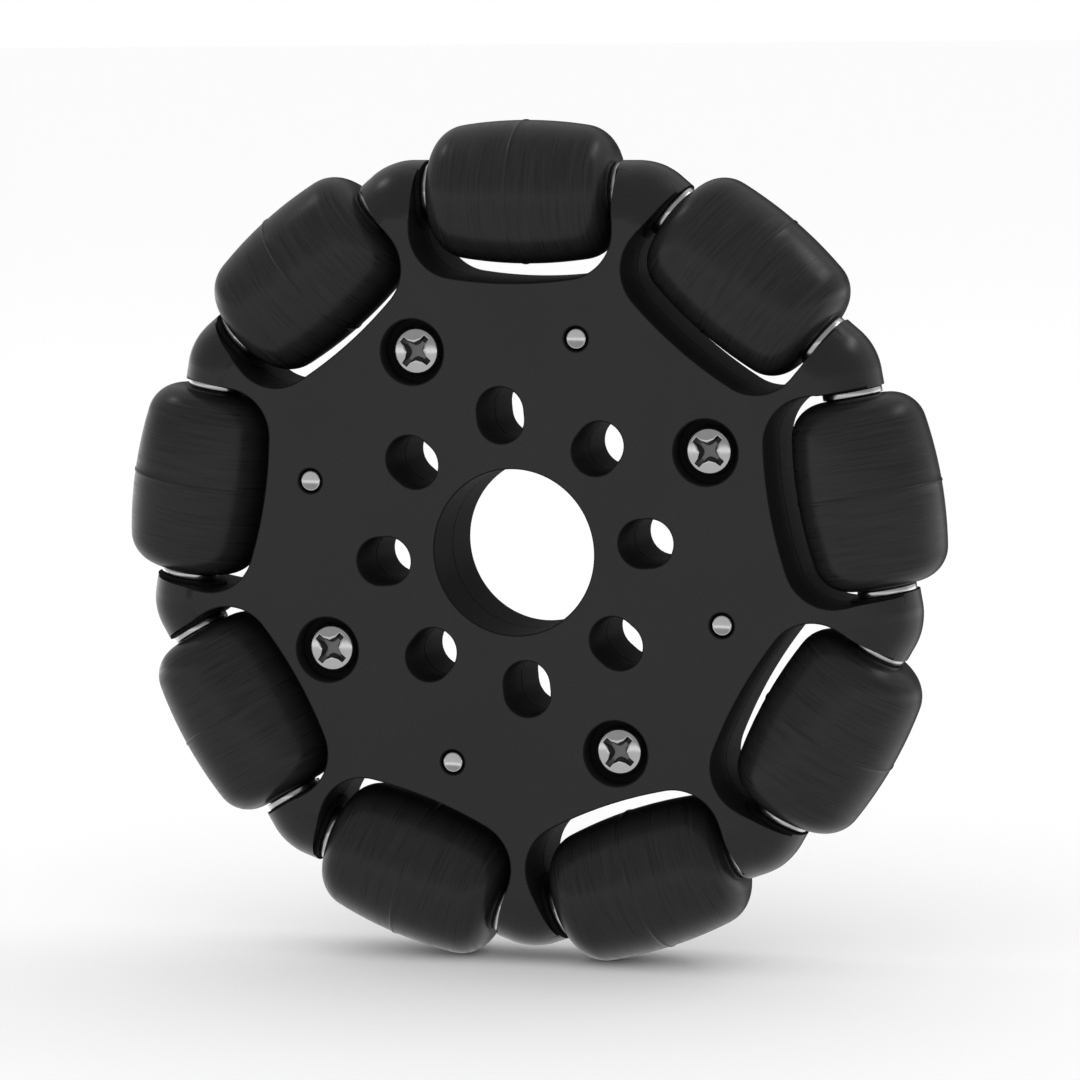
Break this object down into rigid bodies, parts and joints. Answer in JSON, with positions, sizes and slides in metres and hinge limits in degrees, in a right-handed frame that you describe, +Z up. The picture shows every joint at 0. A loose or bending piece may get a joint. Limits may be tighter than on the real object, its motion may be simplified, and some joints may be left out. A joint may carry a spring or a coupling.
{
  "type": "omni wheel",
  "caption": "Single-row omni wheel: two bolted plastic shells hold freely turning rubber barrel rollers on tangential steel axles round a plain bore with hub screw slots.",
  "frame": {"origin": "centre of the wheel: on its spin axis, midway between the two faces", "axes": "+Y along the spin axis from the front face to the rear face, +Z up through the middle of roller 1, +X right as seen from the front"},
  "size_m": [0.0718, 0.012, 0.0713],
  "materials": {
    "shell_plastic": "satin black moulded plastic with a fine even grain",
    "core_plastic": "smooth black plastic",
    "tread_rubber": "satin black rubber with faint rings round the roller",
    "screw_steel": "bright plated steel",
    "washer_steel": "bright steel",
    "axle_steel": "ground steel"
  },
  "bodies": {
    "hub": {"front_shell": "shell_plastic", "rear_shell": "shell_plastic", "front_screw_1": "screw_steel", "front_screw_2": "screw_steel", "front_screw_3": "screw_steel", "front_screw_4": "screw_steel", "rear_screw_1": "screw_steel", "rear_screw_2": "screw_steel", "rear_screw_3": "screw_steel", "rear_screw_4": "screw_steel", "roller_1_axle": "axle_steel", "roller_1_washer_a": "washer_steel", "roller_1_washer_b": "washer_steel", "roller_2_axle": "axle_steel", "roller_2_washer_a": "washer_steel", "roller_2_washer_b": "washer_steel", "roller_3_axle": "axle_steel", "roller_3_washer_a": "washer_steel", "roller_3_washer_b": "washer_steel", "roller_4_axle": "axle_steel", "roller_4_washer_a": "washer_steel", "roller_4_washer_b": "washer_steel", "roller_5_axle": "axle_steel", "roller_5_washer_a": "washer_steel", "roller_5_washer_b": "washer_steel", "roller_6_axle": "axle_steel", "roller_6_washer_a": "washer_steel", "roller_6_washer_b": "washer_steel", "roller_7_axle": "axle_steel", "roller_7_washer_a": "washer_steel", "roller_7_washer_b": "washer_steel", "roller_8_axle": "axle_steel", "roller_8_washer_a": "washer_steel", "roller_8_washer_b": "washer_steel", "roller_9_axle": "axle_steel", "roller_9_washer_a": "washer_steel", "roller_9_washer_b": "washer_steel"},
    "roller_1": {"roller_1_core": "core_plastic", "roller_1_tread": "tread_rubber"},
    "roller_2": {"roller_2_core": "core_plastic", "roller_2_tread": "tread_rubber"},
    "roller_3": {"roller_3_core": "core_plastic", "roller_3_tread": "tread_rubber"},
    "roller_4": {"roller_4_core": "core_plastic", "roller_4_tread": "tread_rubber"},
    "roller_5": {"roller_5_core": "core_plastic", "roller_5_tread": "tread_rubber"},
    "roller_6": {"roller_6_core": "core_plastic", "roller_6_tread": "tread_rubber"},
    "roller_7": {"roller_7_core": "core_plastic", "roller_7_tread": "tread_rubber"},
    "roller_8": {"roller_8_core": "core_plastic", "roller_8_tread": "tread_rubber"},
    "roller_9": {"roller_9_core": "core_plastic", "roller_9_tread": "tread_rubber"}
  },
  "joints": [
    {"name": "roller_1_spin", "type": "hinge", "parent": "hub", "child": "roller_1", "pos_m": [0, 0, 0.02993], "axis": [-1, 0, 0], "continuous": true},
    {"name": "roller_2_spin", "type": "hinge", "parent": "hub", "child": "roller_2", "pos_m": [-0.01924, 0, 0.02293], "axis": [-0.766, 0, -0.6428], "continuous": true},
    {"name": "roller_3_spin", "type": "hinge", "parent": "hub", "child": "roller_3", "pos_m": [-0.02948, 0, 0.0052], "axis": [-0.1736, 0, -0.9848], "continuous": true},
    {"name": "roller_4_spin", "type": "hinge", "parent": "hub", "child": "roller_4", "pos_m": [-0.02592, 0, -0.01496], "axis": [0.5, 0, -0.866], "continuous": true},
    {"name": "roller_5_spin", "type": "hinge", "parent": "hub", "child": "roller_5", "pos_m": [-0.01024, 0, -0.02813], "axis": [0.9397, 0, -0.342], "continuous": true},
    {"name": "roller_6_spin", "type": "hinge", "parent": "hub", "child": "roller_6", "pos_m": [0.01024, 0, -0.02813], "axis": [0.9397, 0, 0.342], "continuous": true},
    {"name": "roller_7_spin", "type": "hinge", "parent": "hub", "child": "roller_7", "pos_m": [0.02592, 0, -0.01496], "axis": [0.5, 0, 0.866], "continuous": true},
    {"name": "roller_8_spin", "type": "hinge", "parent": "hub", "child": "roller_8", "pos_m": [0.02948, 0, 0.0052], "axis": [-0.1736, 0, 0.9848], "continuous": true},
    {"name": "roller_9_spin", "type": "hinge", "parent": "hub", "child": "roller_9", "pos_m": [0.01924, 0, 0.02293], "axis": [-0.766, 0, 0.6428], "continuous": true}
  ]
}
